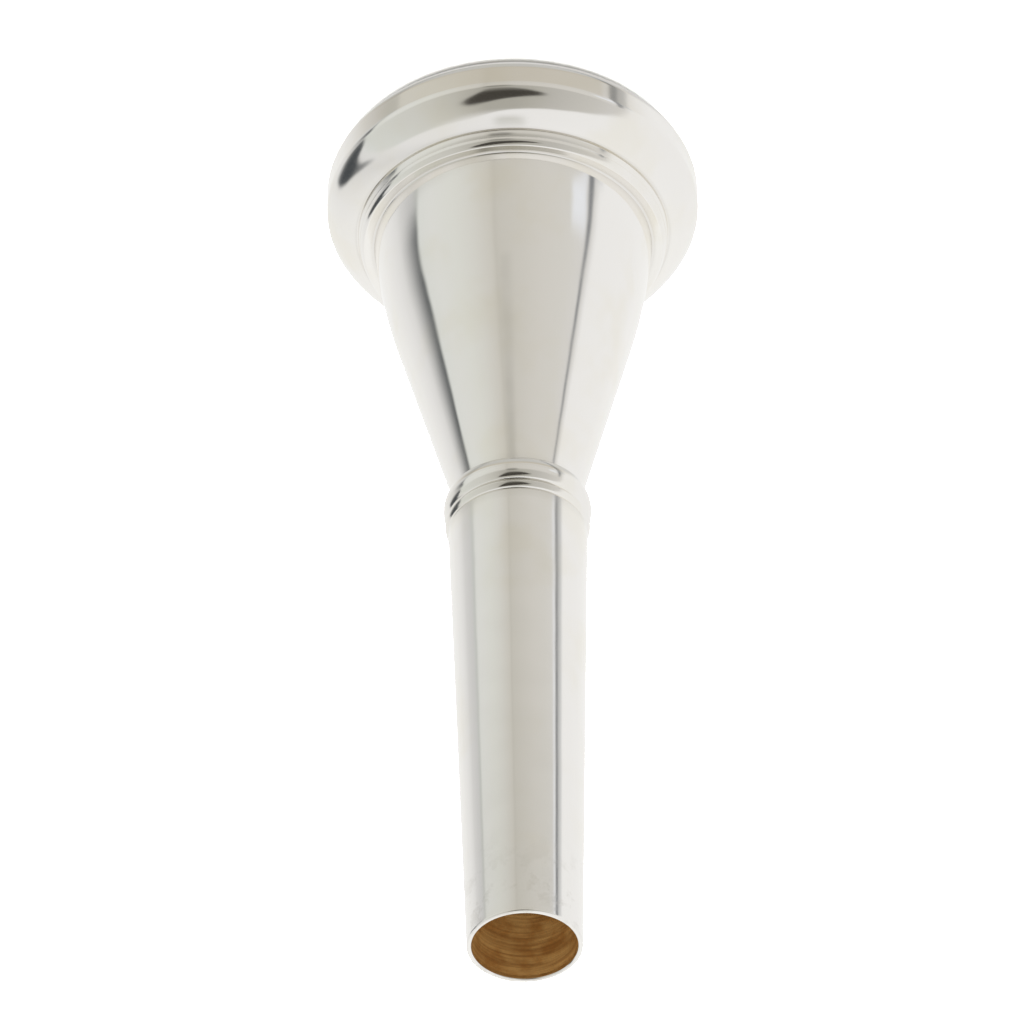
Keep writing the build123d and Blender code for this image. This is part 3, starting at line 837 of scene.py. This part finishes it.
sky = card(cloth, [(-90, 95, 262), (-42, 95, 256), (-38, 95, 253), (-20, 93, 248), (-5, 91, 246),
           (10, 90, 243), (20, 91, 237), (30, 93, 229), (35, 95, 222), (40, 99, 214), (45, 109, 199),
           (50, 119, 176), (56, 140, 152), (58, 146, 146), (90, 146, 146)], 7, 7, grey, [(-90, 1.0),
           (46, 1.0), (54, 0.5), (58, 0.0), (90, 0.0)])
# below the silver the grey board's foot is browner and darker
sky = card(sky, [(-90, 60, 300), (-41, 75, 255), (90, 75, 255)], 50, 50, colour("BFB8A8"), [(-90, 0.9),
           (-46, 0.85), (-41, 0.0), (90, 0.0)])
# far below, where only the rim's crown looks, the tent is dim all round
foot = ramp([(0, 0.72, 0.72, 0.71), (30, 0.72, 0.72, 0.71), (90, 0.55, 0.55, 0.53), (200, 0.55, 0.55, 0.53),
            (270, 0.64, 0.64, 0.63), (330, 0.72, 0.72, 0.71), (360, 0.72, 0.72, 0.71)])
deep = node(tent, "ShaderNodeMapRange", {0: elevation, 1: up(-58), 2: up(-46), 3: 1.0, 4: 0.0},
            interpolation_type="SMOOTHSTEP")
sky = node(tent, "ShaderNodeMix", {0: deep, 6: sky, 7: foot}, data_type="RGBA").outputs[2]
# the black flag on the left: crisp above the horizon, fading to a soft streak below it
sky = card(sky, [(-90, 63, 92), (-8, 63, 92), (-4, 63, 92), (0, 64.5, 90), (5, 67, 84), (10, 71, 82),
           (15, 74.5, 82), (20, 78, 84), (26, 82, 86), (90, 82, 86)], 4, 4, colour("3B4044"), [(-90, 0.0),
           (-14, 0.0), (-8, 0.85), (-4, 0.97), (8, 0.97), (15, 0.8), (22, 0.6), (30, 0.0), (90, 0.0)])
sky = card(sky, [(-90, 84, 107), (-42, 84, 106), (-40, 83, 104), (-38, 82, 101), (-30, 84, 97),
           (-24, 85, 95.5), (-20, 86, 97.5), (-10, 86, 97), (90, 86, 97)], 26, 4, colour("3B4044"),
           [(-90, 0.2), (-42, 0.2), (-37, 0.22), (-33, 0.34), (-29, 0.85), (-20, 0.95), (-15, 0.7),
           (-9, 0.0), (90, 0.0)])
# the board is a little darker in a low band, which the shank's open end looks at
sky = card(sky, [(-90, 95, 244), (90, 95, 244)], 7, 7, colour("A9A79F"), [(-90, 0.0), (-37.8, 0.0),
           (-35.6, 0.27), (-34.6, 0.27), (-33.5, 0.0), (90, 0.0)])
# a strip of blue-white cloth beside the black edge
sky = card(sky, [(-90, 239, 243), (-34, 239, 243), (-31, 228, 240.5), (90, 228, 240.5)], 4, 3,
           colour("F0F4FC"), [(-90, 0.0), (-46, 0.0), (-42, 0.5), (-33, 0.5), (-31, 0.8), (-26, 0.8),
           (-21, 0.0), (90, 0.0)])
# the thin black edge on the right
sky = card(sky, [(-90, 244, 249.5), (-42, 244, 249.5), (-36, 244, 249), (-20, 241, 244), (-10, 240, 242),
           (90, 240, 242)], 2.5, 2.5, colour("3A4450"), [(-90, 0.55), (-38, 0.6), (-35, 0.75), (-16, 0.7),
           (-8, 0.15), (-4, 0.0), (90, 0.0)])
sky = card(sky, [(-90, 249, 257), (90, 249, 257)], 3, 5, colour("5A6470"), [(-90, 0.3), (-36, 0.3),
           (-33, 0.0), (90, 0.0)])
# the opening for the lens, and the stand under it
sky = card(sky, [(-90, 168, 170), (4, 168, 172), (10, 165, 189), (15, 160, 199), (20, 155, 198),
           (25, 152, 186), (30, 152.5, 172), (34, 154, 162), (37, 157, 158), (90, 157, 158)], 5, 8,
           colour("3E3B36"), [(-90, 0.0), (4, 0.0), (10, 0.75), (14, 0.98), (30, 0.97), (37, 0.0),
           (90, 0.0)])
sky = card(sky, [(-90, 170, 176), (-14, 170, 176), (-10, 166, 180), (-5, 165, 181), (0, 168, 178),
           (90, 168, 178)], 4, 8, colour("3E3B36"), [(-90, 0.0), (-14, 0.0), (-9, 0.4), (-5, 0.6),
           (0, 0.15), (3, 0.0), (90, 0.0)])
# a softer grey patch high above
sky = card(sky, [(-90, 166, 190), (58, 168, 188), (68, 164, 192), (90, 150, 210)], 16, 16, colour("C9C9C4"),
           [(-90, 0.0), (56, 0.0), (66, 0.8), (74, 0.6), (86, 0.0), (90, 0.0)])

plain = node(tent, "ShaderNodeRGB")
plain.outputs[0].default_value = 1.0, 1.0, 1.0, 1.0
straight = node(tent, "ShaderNodeLightPath").outputs["Is Camera Ray"]
shown = node(tent, "ShaderNodeMix", {0: straight, 6: sky, 7: plain}, data_type="RGBA").outputs[2]
lit = node(tent, "ShaderNodeBackground", {"Color": shown, "Strength": 1.0})
node(tent, "ShaderNodeOutputWorld", {"Surface": lit})
print("the tent has", len(tent.nodes), "nodes")

# %% [markdown]
# ## A soft box over the floor
#
# The board should read as clean white, so a large soft box above lifts it. The silver doesn't see the
# box: metal only mirrors, and the box is hidden from mirror-like rays.

# %% Soft box
lamp_data = bpy.data.lights.new("soft_box", "AREA")
lamp_data.shape = "DISK"
lamp_data.size = 2.6
lamp_data.energy = 260.0
soft_box = bpy.data.objects.new("soft_box", lamp_data)
soft_box.location = 0.0, 0.0, 1.5
scene.collection.objects.link(soft_box)
soft_box.visible_glossy = False
soft_box.visible_camera = False
print("soft box", lamp_data.size, "m wide, 1.5 m up")

# %% [markdown]
# ## The camera
#
# The mouthpiece is seen from the shank's end, 38 degrees up and from the -Y side, with the camera upside
# down so that the shank points down in the picture. A long lens keeps the perspective mild.

# %% Camera
camera_data = bpy.data.cameras.new("camera")
camera_data.sensor_width = 36.0
camera_data.lens = 282.41
camera_data.clip_start, camera_data.clip_end = 0.01, 20.0
camera = bpy.data.objects.new("camera", camera_data)
scene.collection.objects.link(camera)
eye = Vector((0.0, -390.04, 371.26)) * MM
target = Vector((0.361, 0.0, 29.41)) * MM
ROLL = math.radians(-179.087)
gaze = (target - eye).normalized()
upright_turn = gaze.to_track_quat("-Z", "Y").to_matrix()
camera.matrix_world = Matrix.Translation(eye) @ (upright_turn @ Matrix.Rotation(-ROLL, 3, "Z")).to_4x4()
scene.camera = camera
print("camera axes:", [[round(v, 4) for v in camera.matrix_world.col[k][:3]] for k in range(3)])

# %% [markdown]
# ## Colour management
#
# The Standard view shows the tent's tones as they were set.

# %% Finish
scene.view_settings.view_transform = "Standard"
scene.view_settings.look = "None"
scene.view_settings.exposure = 0.0
scene.view_settings.gamma = 1.0
